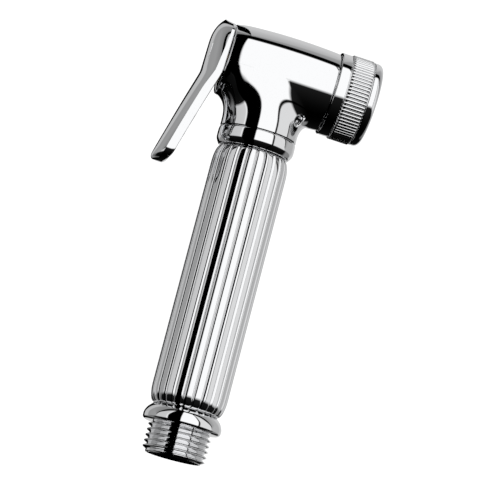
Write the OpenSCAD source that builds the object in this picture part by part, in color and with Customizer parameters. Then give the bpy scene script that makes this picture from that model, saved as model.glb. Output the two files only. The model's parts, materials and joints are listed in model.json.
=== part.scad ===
// Handheld bidet shower: fluted handle, blended tee head, rocking lever valve and screwed spray nozzle.
// Origin: centre of the inlet end face. +Z runs up the handle, +X is the spray side. Millimetres.

/* [Inlet connector] */
// Major diameter of the hose thread
thread_d = 20.955; // [19:0.005:21.5]
// Length of the hose thread
thread_len = 10.3; // [9:0.1:14]
// Bore of the recess in the inlet end
inlet_recess_d = 17.4; // [15:0.1:17.6]
// Depth of the recess in the inlet end
inlet_recess_len = 6.5; // [3:0.5:7]
// Height of the rounded flange above the thread
flange_h = 5.7; // [5:0.1:9]
// Largest diameter of the flange
flange_d = 25.8; // [23:0.1:30]
// Length of the spigot that centres the handle
spigot_len = 5; // [3:0.5:6]

/* [Water tube] */
// Outer diameter of the tube inside the handle
tube_d = 15; // [13:0.1:15.4]
// Wall of the tube
tube_wall = 1.7; // [1:0.1:2.5]
// Length of tube held in the head
tube_in_head = 10.5; // [9:0.5:11]
// Section of the two tube seals
tube_seal_d = 1.6; // [1.2:0.05:1.8]

/* [Fluted handle] */
// Length of the handle
handle_len = 86.4; // [70:0.1:120]
// Diameter over the flutes
handle_d = 25; // [24:0.1:27]
// Diameter of the two necked ends
handle_end_d = 21.2; // [20.6:0.1:21.6]
// Number of flutes
flute_count = 24; // [16:1:30]
// Depth of the valleys between the flutes
flute_depth = 0.4; // [0.2:0.05:0.7]
// Height of each rounded shoulder
shoulder_h = 6; // [4:0.5:8]
// Wall of the handle
handle_wall = 1.5; // [1.2:0.1:1.8]

/* [Neck ring] */
// Height of the neck ring
ring_h = 6; // [5:0.5:9]
// Largest diameter of the neck ring
ring_d = 25.7; // [25.5:0.1:28]

/* [Head] */
// Diameter of the neck under the barrel
neck_d = 25.4; // [24:0.1:26]
// Height of the barrel's axis above the neck ring
barrel_rise = 20.8; // [20.5:0.1:24]
// Fall of the barrel's axis towards the spray, in degrees
droop = 2.2; // [0:0.1:4]
// Distance from the handle's axis back to the rear face
rear_len = 16.8; // [16.5:0.1:19]
// Distance from the handle's axis to the front shoulder
front_len = 19; // [18.5:0.1:22]
// Diameter of the barrel at its rear face
rear_d = 23.8; // [23:0.1:25]
// Diameter of the barrel over the handle's axis
mid_d = 26.8; // [26:0.1:27.5]
// Diameter of the barrel at the front shoulder
front_d = 26.2; // [25.6:0.1:26.4]
// Reach of the blend under the front of the barrel
saddle_r = 15.4; // [14.5:0.1:16]
// Radius on the barrel's rear edge
rear_edge_r = 1; // [0.5:0.1:1.5]

/* [Lock screw] */
// Diameter of the lock screw
lock_screw_d = 3; // [2.5:0.1:3.5]
// Height of the lock screw above the neck ring
lock_screw_z = 7; // [6:0.1:8]
// Angle of the lock screw round from the spray side
lock_screw_angle = -34; // [-60:1:-20]
// Width of the dished recess round the lock screw
lock_dish_d = 5; // [4:0.1:6]

/* [Valve] */
// Bore of the valve chamber
chamber_d = 14.4; // [13.6:0.1:14.6]
// Bore of the valve seat
seat_bore_d = 7.2; // [6:0.1:7.6]
// Distance from the handle's axis to the sealing lip
seat_pos = 4.8; // [4.6:0.1:5.2]
// Diameter of the stem
stem_d = 5; // [4.6:0.1:5.4]
// Diameter of the stem's washer cup
cup_d = 11.2; // [10:0.1:11.6]
// Thickness of the valve washer
washer_t = 2.15; // [2:0.05:2.4]
// Wire of the return spring
spring_wire_d = 0.8; // [0.6:0.05:0.9]
// Mean coil diameter of the return spring
spring_coil_d = 8.8; // [8.4:0.1:9.4]
// Turns of the return spring
spring_turns = 4.5; // [3:0.5:5]

/* [Valve gland] */
// Diameter of the gland's flange
gland_flange_d = 17; // [16.6:0.1:18]
// Thickness of the gland's flange
gland_flange_t = 2; // [1.5:0.1:2.2]
// Diameter of the gland's thread
gland_d = 15; // [14.8:0.1:15.2]
// Length of the gland's thread
gland_len = 7.4; // [7.2:0.1:7.6]
// Thickness of the flat seal under the gland's flange
gland_seal_t = 0.9; // [0.6:0.1:1.1]
// Section of the two stem seals
stem_seal_d = 1.5; // [1.2:0.05:1.5]

/* [Lever] */
// Half width of the lever beside the barrel
lever_half_w = 9.8; // [9:0.1:10.5]
// Half width of the lever near its tip
lever_tip_half_w = 6.8; // [6:0.1:8]
// Depth of the lever from its rim to its crown beside the barrel
lever_depth = 6.3; // [6:0.1:7]
// Depth of the lever from its rim to its crown near the tip
lever_tip_depth = 5; // [4.6:0.1:5.6]
// Wall of the lever
lever_wall = 1.8; // [1.4:0.1:2]
// Reach of the lever above the barrel's axis
lever_up = 12.6; // [12:0.1:13]
// Reach of the lever below the barrel's axis
lever_down = 39; // [36:0.5:44]
// Lean of the lever's lower part away from the rear face, in degrees
lever_lean = 15; // [12:0.5:17]
// Distance from the barrel's axis down to the bend
lever_bend = 6; // [5.6:0.1:6.2]
// Diameter of the lever's pin
pin_d = 2; // [1.8:0.1:2.1]
// Distance from the lever's rim plane back to the pin
pin_back = 1.55; // [1.5:0.05:1.9]

/* [Nozzle] */
// Diameter of the thread that carries the nozzle cap
nozzle_thread_d = 24; // [23.4:0.1:24.4]
// Length of that thread
nozzle_thread_len = 8; // [7:0.1:9]
// Bore of the outlet chamber
outlet_bore_d = 19; // [17:0.1:19.4]
// Diameter of the cap's plain band
band_d = 27.8; // [27.6:0.1:28]
// Length of the cap's plain band
band_len = 3.7; // [3:0.1:4.5]
// Diameter over the knurled ribs
knurl_d = 28.6; // [28.4:0.1:30]
// Length of the knurled band
knurl_len = 7.3; // [5:0.1:8]
// Number of ribs
rib_count = 72; // [48:1:80]
// Depth of the grooves between the ribs
rib_depth = 0.45; // [0.2:0.05:0.5]
// Diameter of the front lip
lip_d = 28; // [27.6:0.1:28.4]
// Length of the front lip
lip_len = 3.3; // [3:0.1:4.5]
// Opening in the front lip
lip_bore_d = 21.2; // [19.5:0.1:22.4]
// Thickness of the lip in front of the spray plate
lip_t = 1.7; // [1.2:0.1:2]
// Thickness of the spray plate at its rim
plate_t = 2; // [1.6:0.1:2.4]
// Diameter of each spray hole
spray_hole_d = 1; // [0.8:0.05:1.2]
// Rings of spray holes round the middle one
spray_rings = 3; // [1:1:3]
// Distance between the rings of spray holes
spray_pitch = 2.7; // [2.2:0.05:3]

/* [Clearances] */
// Radial gap of a plain fit between fixed pieces
fit_gap = 0.03; // [0.02:0.01:0.06]
// Radial gap of a running fit
run_gap = 0.05; // [0.03:0.01:0.09]
// Gap between faces that close on each other
face_gap = 0.1; // [0.05:0.05:0.2]
// Gap between the lever's rim and the barrel's rear face
lever_gap = 0.25; // [0.2:0.05:0.4]
// Seam between the nozzle cap and the barrel
nozzle_gap = 0.3; // [0.25:0.05:0.5]

/* [Hidden] */

$fn = 64;
hull_fn = 48;
overcut = 1;
edge_break = 0.4;
thread_lead = 0.4;

// Heights up the handle
flange_z = thread_len;
handle_z = flange_z + flange_h + 0.2;
handle_top = handle_z + handle_len;
ring_z = handle_top + 0.2;
ring_top = ring_z + ring_h;
neck_z = ring_top + 0.2;
barrel_z = ring_top + barrel_rise;

// Water tube
tube_foot = flange_z - 1.25;
tube_top = neck_z + tube_in_head;
tube_bore_d = tube_d - 2 * tube_wall;
tube_socket_d = tube_d + 2 * fit_gap;
seal_groove_d = tube_socket_d + 2 * tube_seal_d;
seal_groove_h = tube_seal_d + 0.3;
lower_seal_z = flange_z + flange_h * 0.5;
upper_seal_z = neck_z + 3.2;
spigot_share = 0.35;
spigot_d = tube_socket_d + spigot_share * (handle_end_d - 2 * flute_depth - tube_socket_d);

// Fluted handle
points_per_flute = 6;
shoulder_steps = 6;

// Barrel
barrel_steps = 10;
edge_steps = 4;
neck_h = 7;
saddle_inset = 0.12;
neck_bore_d = 9.6;

// Valve, measured along the barrel from the handle's axis
gland_rear = -rear_len + face_gap;
gland_step = gland_rear + gland_flange_t;
gland_front = gland_step + gland_len;
counterbore_floor = gland_step + gland_seal_t;
seat_web = 2.5;
seat_lip_h = 0.6;
seat_lip_w = 0.7;
outlet_floor = seat_pos + seat_lip_h + seat_web;
washer_front = seat_pos - face_gap / 2;
washer_rear = washer_front - washer_t;
cup_floor_t = 1.6;
cup_rim_h = 1;
cup_rear = washer_rear - cup_floor_t;
washer_d = cup_d - 1.2;
washer_screw_d = 3;
washer_screw_head_d = 5.2;
washer_screw_head_h = 1.4;
washer_screw_len = 6;
stem_groove_d = stem_d + 2 * run_gap + 2 * stem_seal_d;
stem_groove_len = stem_seal_d + 0.3;
stem_seal_pitch = gland_len * 0.35;
outer_stem_seal_pos = gland_step + stem_seal_pitch;
inner_stem_seal_pos = gland_step + 2 * stem_seal_pitch;
spring_boss_len = 1;
spring_steps = 16;
spring_sides = 8;

// Lever, measured along and across the barrel
rim_pos = -rear_len - lever_gap;
pin_pos = rim_pos - pin_back;
tail_wall = 1.1;
stem_tail = pin_pos - pin_d / 2 - tail_wall;
lug_gap = 0.3;
lug_t = 2;
lug_y = stem_d / 2 + lug_gap + lug_t / 2;
pin_half_len = lug_y + lug_t / 2;
lever_top_r = lever_half_w + 0.4;
lever_steps_arc = 7;
lever_steps_side = 9;
lever_crown_points = 10;
rim_side_top = 1.2;
rim_side_tip = 3;

// Nozzle
cap_rear = front_len + nozzle_gap;
knurl_pos = cap_rear + band_len;
lip_pos = knurl_pos + knurl_len;
cap_front = lip_pos + lip_len;
cap_bore_d = nozzle_thread_d + 2 * run_gap;
spigot_front = front_len + nozzle_thread_len;
plate_front = cap_front - lip_t - face_gap;
plate_rear = plate_front - plate_t;
plate_d = nozzle_thread_d - 0.2;
plate_dome = 0.6;
nozzle_seal_od = plate_d - 0.4;
nozzle_seal_id = outlet_bore_d + 0.4;

// Places its children in the barrel's own frame, whose X axis is the barrel's axis
module in_barrel() {
    translate([0, 0, barrel_z]) rotate([0, droop, 0]) children();
}

// Turns a profile of [radius, distance along the barrel] round the barrel's axis
module along_barrel(profile) {
    in_barrel() rotate([0, 90, 0]) rotate_extrude() polygon(profile);
}

// Straight round bar or bore along the barrel
module barrel_rod(d, from, to) {
    in_barrel() rotate([0, 90, 0]) translate([0, 0, from]) cylinder(d = d, h = to - from);
}

// Straight round bar or bore along Z
module rod(d, from, to) {
    translate([0, 0, from]) cylinder(d = d, h = to - from);
}

// Ring of round section about Z
module o_ring(bore_d, section_d, z) {
    translate([0, 0, z]) rotate_extrude() translate([(bore_d + section_d) / 2, 0])
        circle(d = section_d, $fn = 32);
}

// Closed solid through equal rings of points, each ring flat
module loft(rings) {
    n = len(rings[0]);
    last = len(rings) - 1;
    sides = [for (i = [0:last - 1], j = [0:n - 1]) let(k = (j + 1) % n)
        each [[i * n + j, (i + 1) * n + j, (i + 1) * n + k], [i * n + j, (i + 1) * n + k, i * n + k]]];
    polyhedron(points = [for (ring = rings) each ring],
               faces = concat([[for (j = [0:n - 1]) j]], sides, [[for (j = [n - 1:-1:0]) last * n + j]]),
               convexity = 10);
}

// Radius of the barrel at a distance along it: one smooth curve through the three stated diameters
function barrel_r(u) =
    let(a = -rear_len, c = front_len)
    rear_d / 2 * (u * (u - c)) / (a * (a - c)) + mid_d / 2 * ((u - a) * (u - c)) / (a * c)
    + front_d / 2 * (u * (u - a)) / (c * (c - a));

module barrel_form() {
    from = -rear_len + rear_edge_r;
    edge = [for (i = [0:edge_steps]) let(t = 90 * i / edge_steps)
        [barrel_r(from) - rear_edge_r * (1 - sin(t)), from - rear_edge_r * cos(t)]];
    side = [for (i = [1:barrel_steps]) let(u = from + (front_len - from) * i / barrel_steps)
        [barrel_r(u), u]];
    along_barrel(concat([[0, -rear_len]], edge, side, [[0, front_len]]));
}

// The blend that carries the round neck into the whole underside of the barrel
module saddle_form() {
    neck_disc_z = neck_z + 5.4;
    foot_r = mid_d / 2 - 0.35;
    hull() {
        translate([0, 0, neck_disc_z]) cylinder(d = neck_d - 0.1, h = 0.6, $fn = hull_fn);
        in_barrel() translate([-rear_len + 0.2, 0, 0]) rotate([0, 90, 0])
            cylinder(r1 = rear_d / 2 - saddle_inset, r2 = barrel_r(5) - saddle_inset,
                     h = rear_len + 5, $fn = hull_fn);
        intersection() {
            translate([0, 0, barrel_z - mid_d / 2 - 3])
                cylinder(r = saddle_r, h = mid_d / 2 + 1, $fn = hull_fn);
            in_barrel() rotate([0, 90, 0]) cylinder(r = foot_r, h = saddle_r + 1, $fn = hull_fn);
        }
    }
}

// Everything that is bored out of the head along the barrel
module head_bores() {
    barrel_rod(gland_flange_d + 2 * fit_gap, -rear_len - overcut, counterbore_floor);
    barrel_rod(gland_d + 2 * fit_gap, counterbore_floor - overcut, gland_front);
    barrel_rod(chamber_d, gland_front - overcut, seat_pos + seat_lip_h);
    barrel_rod(seat_bore_d, seat_pos - overcut, outlet_floor + overcut);
    barrel_rod(outlet_bore_d, outlet_floor, spigot_front + overcut);
}

module seat_lip() {
    bore = seat_bore_d / 2;
    lip_foot = seat_pos + seat_lip_h + 0.2;
    along_barrel([[bore, seat_pos], [bore + seat_lip_w, seat_pos], [bore + seat_lip_w + 0.3, lip_foot],
                  [bore, lip_foot]]);
}

// Points its children outwards at the lock screw
module at_lock_screw() {
    translate([0, 0, ring_top + lock_screw_z]) rotate([0, 0, lock_screw_angle]) rotate([0, 90, 0])
        children();
}

module lock_screw_hole() {
    surface = neck_d / 2 + 0.3;
    at_lock_screw() {
        cylinder(d = lock_screw_d + 2 * fit_gap, h = saddle_r + overcut);
        translate([0, 0, surface - 0.5]) cylinder(d1 = lock_screw_d + 0.6, d2 = lock_dish_d + 1.2, h = 1.6);
    }
}

module head_body() {
    color("gainsboro") {
        difference() {
            union() {
                barrel_form();
                saddle_form();
                rod(neck_d, neck_z, neck_z + neck_h);
                barrel_rod(nozzle_thread_d, front_len - overcut, spigot_front);
            }
            rod(tube_socket_d, neck_z - overcut, tube_top + 0.2);
            rod(neck_bore_d, tube_top, barrel_z - 2);
            rod(seal_groove_d, upper_seal_z - seal_groove_h / 2, upper_seal_z + seal_groove_h / 2);
            head_bores();
            lock_screw_hole();
        }
        seat_lip();
    }
}

module neck_ring() {
    bore = tube_d / 2 + fit_gap;
    outer = ring_d / 2;
    spigot = spigot_d / 2;
    foot = handle_end_d / 2;
    spigot_foot = ring_z - spigot_len;
    color("gainsboro") rotate_extrude() polygon([
        [bore, spigot_foot], [spigot - edge_break, spigot_foot], [spigot, spigot_foot + edge_break],
        [spigot, ring_z], [foot - 0.5, ring_z], [foot + 0.8, ring_z + ring_h * 0.02],
        [outer - 0.7, ring_z + ring_h * 0.13], [outer - 0.15, ring_z + ring_h * 0.33],
        [outer, ring_z + ring_h * 0.58], [outer - 0.05, ring_top - ring_h * 0.17],
        [outer - 0.2, ring_top - ring_h * 0.05], [outer - 0.6, ring_top], [bore, ring_top]]);
}

// Radius of the handle's envelope at a height above its foot: straight, with an elliptical shoulder
// at each end
function handle_r(z) =
    let(d = min(z, handle_len - z), s = max(0, 1 - d / shoulder_h))
    handle_end_d / 2 + (handle_d - handle_end_d) / 2 * sqrt(1 - pow(s, 2.2));

// One ring of the fluted skin: convex flutes that meet in sharp valleys
function flute_ring(z) =
    let(n = flute_count * points_per_flute, r = handle_r(z))
    [for (i = [0:n - 1]) let(a = i * 360 / n, q = r - flute_depth * (1 - abs(cos(a * flute_count / 2))))
        [q * cos(a), q * sin(a), handle_z + z]];

module handle_sleeve() {
    rise = [for (i = [0:shoulder_steps]) shoulder_h * (1 - cos(90 * i / shoulder_steps))];
    stations = concat(rise, [for (i = [shoulder_steps:-1:0]) handle_len - rise[i]]);
    end_bore = spigot_d / 2 + face_gap;
    mid_bore = handle_d / 2 - flute_depth - handle_wall;
    color("silver") difference() {
        loft([for (z = stations) flute_ring(z)]);
        translate([0, 0, handle_z]) rotate_extrude() polygon([
            [0, -overcut], [end_bore, -overcut], [end_bore, spigot_len * 0.6], [mid_bore, shoulder_h + 1.5],
            [mid_bore, handle_len - shoulder_h - 1.5], [end_bore, handle_len - spigot_len * 0.6],
            [end_bore, handle_len + overcut], [0, handle_len + overcut]]);
    }
}

module water_tube() {
    color("darkgoldenrod") difference() {
        rod(tube_d, tube_foot + face_gap, tube_top);
        rod(tube_bore_d, tube_foot - overcut, tube_top + overcut);
    }
}

module hose_connector() {
    major = thread_d / 2;
    flange = flange_d / 2;
    spigot = spigot_d / 2;
    top = flange_z + flange_h;
    socket = tube_socket_d / 2;
    bore = tube_bore_d / 2;
    recess = inlet_recess_d / 2;
    spigot_top = top + spigot_len;
    bead = [for (p = [[0.6, 0], [0.15, 0.09], [0, 0.25], [0.1, 0.42], [0.5, 0.6], [1.1, 0.75], [1.9, 0.9]])
        [flange - p[0], flange_z + p[1] * flange_h]];
    color("gainsboro") difference() {
        rotate_extrude() polygon(concat(
            [[recess, 0], [major - thread_lead, 0], [major, thread_lead], [major, flange_z]], bead,
            [[handle_end_d / 2 - 0.1, top], [spigot, top], [spigot, spigot_top - edge_break],
             [spigot - edge_break, spigot_top], [socket, spigot_top], [socket, tube_foot], [bore, tube_foot],
             [bore, inlet_recess_len], [recess, inlet_recess_len]]));
        rod(seal_groove_d, lower_seal_z - seal_groove_h / 2, lower_seal_z + seal_groove_h / 2);
    }
}

module upper_tube_seal() {
    color("black") o_ring(tube_d + fit_gap, tube_seal_d, upper_seal_z);
}

module lower_tube_seal() {
    color("black") o_ring(tube_d + fit_gap, tube_seal_d, lower_seal_z);
}

module lock_screw() {
    seat = tube_d / 2 + face_gap;
    head = neck_d / 2 - 0.9;
    socket_w = lock_screw_d / 2;
    color("dimgray") at_lock_screw() difference() {
        translate([0, 0, seat]) cylinder(d = lock_screw_d, h = head - seat);
        translate([0, 0, head - 1.6]) cylinder(d = socket_w / cos(30), h = 1.6 + overcut, $fn = 6);
    }
}

module valve_gland() {
    stem_bore = stem_d / 2 + run_gap;
    boss = spring_coil_d / 2 - spring_wire_d / 2 - 0.3;
    spanner_hole_d = 1.8;
    color("gainsboro") difference() {
        along_barrel([[stem_bore, gland_rear], [gland_flange_d / 2, gland_rear],
                      [gland_flange_d / 2, gland_step], [gland_d / 2, gland_step], [gland_d / 2, gland_front],
                      [boss, gland_front], [boss, gland_front + spring_boss_len],
                      [stem_bore, gland_front + spring_boss_len]]);
        for (p = [outer_stem_seal_pos, inner_stem_seal_pos])
            barrel_rod(stem_groove_d, p - stem_groove_len / 2, p + stem_groove_len / 2);
        for (side = [-1, 1])
            in_barrel() translate([gland_rear - overcut, side * gland_flange_d * 0.36, 0]) rotate([0, 90, 0])
                cylinder(d = spanner_hole_d, h = overcut + gland_flange_t * 0.75);
    }
}

module gland_seal() {
    color("darkred") difference() {
        barrel_rod(gland_flange_d - 0.1, gland_step, counterbore_floor);
        barrel_rod(gland_d + 0.2, gland_step - overcut, counterbore_floor + overcut);
    }
}

// Round seal on the stem
module stem_seal(pos) {
    color("black") in_barrel() rotate([0, 90, 0])
        o_ring(stem_d + 2 * run_gap, stem_seal_d - 2 * fit_gap, pos);
}

module inner_stem_seal() {
    stem_seal(inner_stem_seal_pos);
}

module outer_stem_seal() {
    stem_seal(outer_stem_seal_pos);
}

module valve_stem() {
    stem = stem_d / 2;
    cup = cup_d / 2;
    washer = washer_d / 2 + fit_gap;
    color("goldenrod") difference() {
        along_barrel([[0, stem_tail], [stem - tail_wall, stem_tail], [stem, stem_tail + tail_wall],
                      [stem, cup_rear], [cup, cup_rear], [cup, washer_rear + cup_rim_h],
                      [washer, washer_rear + cup_rim_h], [washer, washer_rear], [0, washer_rear]]);
        in_barrel() translate([pin_pos, 0, 0]) rotate([90, 0, 0])
            cylinder(d = pin_d + 2 * run_gap, h = stem_d + 2 * overcut, center = true);
        barrel_rod(washer_screw_d + 2 * fit_gap, washer_rear - washer_screw_len - 0.5, washer_rear + overcut);
    }
}

module valve_washer() {
    color("black") difference() {
        barrel_rod(washer_d, washer_rear, washer_front);
        barrel_rod(washer_screw_d + 2 * fit_gap, washer_rear - overcut, washer_front + overcut);
    }
}

module washer_screw() {
    slot_w = 0.8;
    color("silver") difference() {
        union() {
            barrel_rod(washer_screw_d, washer_rear - washer_screw_len, washer_front + overcut);
            barrel_rod(washer_screw_head_d, washer_front, washer_front + washer_screw_head_h);
        }
        in_barrel() translate([washer_front + washer_screw_head_h - 0.6, -slot_w / 2, -washer_screw_head_d])
            cube([1, slot_w, 2 * washer_screw_head_d]);
    }
}

// Helical return spring between the gland and the washer cup
module return_spring() {
    from = gland_front + spring_wire_d / 2 + face_gap;
    to = cup_rear - spring_wire_d / 2 - face_gap;
    last = spring_turns * spring_steps;
    color("lightsteelblue") in_barrel() loft([for (i = [0:last]) let(turn = 360 * i / spring_steps)
        [for (j = [0:spring_sides - 1]) let(
            a = -360 * j / spring_sides,
            r = spring_coil_d / 2 + spring_wire_d / 2 * cos(a),
            u = from + (to - from) * i / last + spring_wire_d / 2 * sin(a))
            [u, r * cos(turn), r * sin(turn)]]]);
}

// Half width of the lever at a height above the barrel's axis
function lever_w(w) =
    let(top_c = lever_up - lever_top_r, tip_c = -lever_down + lever_tip_half_w,
        f = (-lever_bend - w) / (-lever_bend - tip_c))
    w > top_c ? lever_half_w * sqrt(max(0, 1 - pow((w - top_c) / lever_top_r, 2)))
    : w > -lever_bend ? lever_half_w
    : w > tip_c ? lever_half_w + (lever_tip_half_w - lever_half_w) * f
    : sqrt(max(0, pow(lever_tip_half_w, 2) - pow(w - tip_c, 2)));

// Rim of the lever, measured along the barrel: flat beside the barrel, then leaning away
function lever_rim(w) = rim_pos - max(0, -lever_bend - w) * tan(lever_lean);

// Share of the depth that is left where the lever closes in at its rounded ends
function lever_close(w) =
    let(top = max(0, (w - (lever_up - lever_top_r)) / lever_top_r),
        tip = max(0, (lever_tip_half_w - lever_down - w) / lever_tip_half_w))
    1 - 0.42 * pow(top, 3) - 0.5 * pow(tip, 3);

// How far down its lower part a height of the lever is, from 0 to 1
function lever_reach(w) = min(1, max(0, (lever_bend - w) / (lever_down - lever_bend)));

// Depth from rim to crown
function lever_crown(w) =
    (lever_depth + (lever_tip_depth - lever_depth) * lever_reach(w)) * lever_close(w);

// Height of the lever's straight sides
function lever_side(w) =
    (rim_side_top + (rim_side_tip - rim_side_top) * min(1, lever_reach(w) * 1.8)) * lever_close(w);

// One section of the lever, pulled in by a wall: rim, straight sides and an arched crown
function lever_ring(w, wall) =
    let(h = max(0.3, lever_w(w) - wall), rim = lever_rim(w), side = lever_side(w),
        rise = max(0.2, lever_crown(w) - side - wall), front = wall > 0 ? rim + overcut : rim)
    concat([[front, -h, w]],
           [for (i = [0:lever_crown_points]) let(t = 2 * i / lever_crown_points - 1)
               [rim - side - rise * (1 - pow(abs(t), 2.2)), h * t, w]],
           [[front, h, w]]);

// Heights of the lever's sections between two ends, close together where the outline is round
function lever_stations(top, tip, wall) =
    let(top_c = lever_up - lever_top_r, tip_c = -lever_down + lever_tip_half_w,
        first = 8 / lever_steps_arc, turn = 90 / lever_steps_arc)
    concat([for (i = [0:lever_steps_arc - 1]) top_c + (top - top_c) * cos(first + turn * i)],
           [for (i = [0:lever_steps_side]) top_c - 0.1 + (tip_c + 0.1 - top_c) * i / lever_steps_side],
           [for (i = [1:lever_steps_arc]) tip_c + (tip - tip_c) * sin(88 * i / lever_steps_arc)]);

module lever() {
    lug_h = 5.4;
    color("gainsboro") in_barrel() difference() {
        union() {
            difference() {
                loft([for (w = lever_stations(lever_up, -lever_down, 0)) lever_ring(w, 0)]);
                loft([for (w = lever_stations(lever_up - lever_wall, -lever_down + lever_wall, 1))
                    lever_ring(w, lever_wall)]);
            }
            for (side = [-1, 1])
                translate([rim_pos - lever_depth + lever_wall / 2, side * lug_y, 0])
                    translate([0, -lug_t / 2, -lug_h / 2])
                        cube([lever_depth - lever_wall / 2 - 0.4, lug_t, lug_h]);
        }
        translate([pin_pos, 0, 0]) rotate([90, 0, 0])
            cylinder(d = pin_d + fit_gap, h = 2 * pin_half_len + face_gap, center = true);
    }
}

module lever_pin() {
    color("silver") in_barrel() translate([pin_pos, 0, 0]) rotate([90, 0, 0])
        cylinder(d = pin_d, h = 2 * pin_half_len, center = true);
}

// Ribbed outline of the knurled band
module knurl_outline() {
    outer = knurl_d / 2;
    root = outer - rib_depth;
    step = 360 / rib_count;
    polygon([for (i = [0:rib_count - 1]) each [
        for (p = [[0, root], [0.3, root], [0.42, outer], [0.88, outer]])
            let(a = (i + p[0]) * step) [p[1] * cos(a), p[1] * sin(a)]]]);
}

module nozzle_cap() {
    band = band_d / 2;
    lip = lip_d / 2;
    inner = nozzle_thread_d / 2 - 1;
    color("gainsboro") difference() {
        union() {
            along_barrel([[inner, cap_rear], [band - 0.3, cap_rear], [band, cap_rear + 0.3],
                          [band, knurl_pos - 0.3], [band - 0.4, knurl_pos], [band - 0.4, lip_pos],
                          [lip, lip_pos + 0.4], [lip, cap_front - 2], [lip - 0.3, cap_front - 1],
                          [lip - 1, cap_front - 0.3], [lip - 2, cap_front], [lip_bore_d / 2 + 0.4, cap_front],
                          [lip_bore_d / 2, cap_front - 0.4], [inner, cap_front - lip_t]]);
            in_barrel() rotate([0, 90, 0]) translate([0, 0, knurl_pos])
                linear_extrude(height = knurl_len) knurl_outline();
        }
        barrel_rod(cap_bore_d, cap_rear - overcut, cap_front - lip_t);
        barrel_rod(lip_bore_d, cap_front - lip_t - overcut, cap_front + overcut);
    }
}

// Perforated plate with a low dome, behind the lip of the cap
module spray_plate() {
    rim = lip_bore_d / 2 - 0.2;
    color("whitesmoke") difference() {
        along_barrel([[0, plate_rear], [plate_d / 2, plate_rear], [plate_d / 2, plate_front],
                      [rim, plate_front], [rim - 0.8, plate_front + plate_dome * 0.6],
                      [rim * 0.5, plate_front + plate_dome], [0, plate_front + plate_dome]]);
        in_barrel() rotate([0, 90, 0]) translate([0, 0, plate_rear - overcut]) {
            cylinder(d = spray_hole_d, h = plate_t + plate_dome + 2 * overcut, $fn = 24);
            for (ring = [1:spray_rings], i = [0:6 * ring - 1])
                rotate([0, 0, i * 60 / ring]) translate([ring * spray_pitch, 0, 0])
                    cylinder(d = spray_hole_d, h = plate_t + plate_dome + 2 * overcut, $fn = 24);
        }
    }
}

module nozzle_seal() {
    color("dimgray") difference() {
        barrel_rod(nozzle_seal_od, spigot_front + face_gap, plate_rear);
        barrel_rod(nozzle_seal_id, spigot_front - overcut, plate_rear + overcut);
    }
}

head_body();
neck_ring();
handle_sleeve();
water_tube();
hose_connector();
upper_tube_seal();
lower_tube_seal();
lock_screw();
valve_gland();
gland_seal();
inner_stem_seal();
outer_stem_seal();
valve_stem();
valve_washer();
washer_screw();
return_spring();
lever();
lever_pin();
nozzle_cap();
spray_plate();
nozzle_seal();
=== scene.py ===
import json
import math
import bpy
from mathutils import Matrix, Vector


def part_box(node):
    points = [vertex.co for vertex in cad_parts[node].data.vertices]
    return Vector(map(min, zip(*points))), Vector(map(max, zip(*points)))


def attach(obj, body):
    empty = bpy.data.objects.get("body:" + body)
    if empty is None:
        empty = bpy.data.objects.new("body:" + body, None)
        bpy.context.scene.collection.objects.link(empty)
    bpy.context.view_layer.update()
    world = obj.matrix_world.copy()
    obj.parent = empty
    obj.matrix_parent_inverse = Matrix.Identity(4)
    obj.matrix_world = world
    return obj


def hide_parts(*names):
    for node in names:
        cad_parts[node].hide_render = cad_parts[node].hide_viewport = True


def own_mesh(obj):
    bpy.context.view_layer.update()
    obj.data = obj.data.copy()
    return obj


bl_info = {
    "name": "Handheld bidet shower",
    "version": (1, 0, 0),
    "blender": (4, 5, 0),
    "location": "View3D > Sidebar > Bidet shower",
    "description": "Dresses the frame of a chromed handheld bidet shower and sets up its studio",
    "category": "Object",
}

from types import SimpleNamespace

import bmesh
import bpy
from mathutils import Matrix, Vector

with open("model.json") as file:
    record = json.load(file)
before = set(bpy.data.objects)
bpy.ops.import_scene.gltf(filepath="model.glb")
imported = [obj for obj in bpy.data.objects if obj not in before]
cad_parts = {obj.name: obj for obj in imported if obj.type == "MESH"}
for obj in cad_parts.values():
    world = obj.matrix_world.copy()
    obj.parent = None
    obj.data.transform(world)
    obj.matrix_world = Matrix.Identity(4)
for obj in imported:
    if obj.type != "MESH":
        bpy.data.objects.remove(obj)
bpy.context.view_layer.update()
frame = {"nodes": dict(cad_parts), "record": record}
MM = 0.001
JOINTS = {j["name"]: j for j in frame["record"]["behaviour"]["joints"]}
THREAD = next(m for m in frame["record"]["mounts"] if m["name"] == "hose_thread")["dims"]


def corners_mm(node):
    """Lowest and highest corner of a frame node, in millimetres."""
    low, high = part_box(node)
    return Vector(low) / MM, Vector(high) / MM


def barrel_frame():
    """Matrix, in millimetres, that lays a piece made about Z along the barrel, from the cap's turning axis."""
    axis = Vector(JOINTS["nozzle_turn"]["axis"])
    point = Vector(JOINTS["nozzle_turn"]["pos_m"]) / MM
    droop = math.atan2(-axis.z, axis.x)
    height = point.z + point.x * math.tan(droop)
    return Matrix.Translation((0, 0, height)) @ Matrix.Rotation(droop, 4, "Y")


BARREL = barrel_frame()
ALONG_BARREL = BARREL @ Matrix.Rotation(math.pi / 2, 4, "Y")
AXIS_HEIGHT = BARREL.translation.z


# Properties

def millimetres(name, description, default, least=0.0):
    """A length given in millimetres and kept in metres, Blender's own unit."""
    return bpy.props.FloatProperty(name=name, description=description, default=default * MM, min=least * MM,
                                   precision=5, unit="LENGTH")


def finish_colour(name, description, default):
    return bpy.props.FloatVectorProperty(name=name, description=description, subtype="COLOR", size=3,
                                         default=default)


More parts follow.
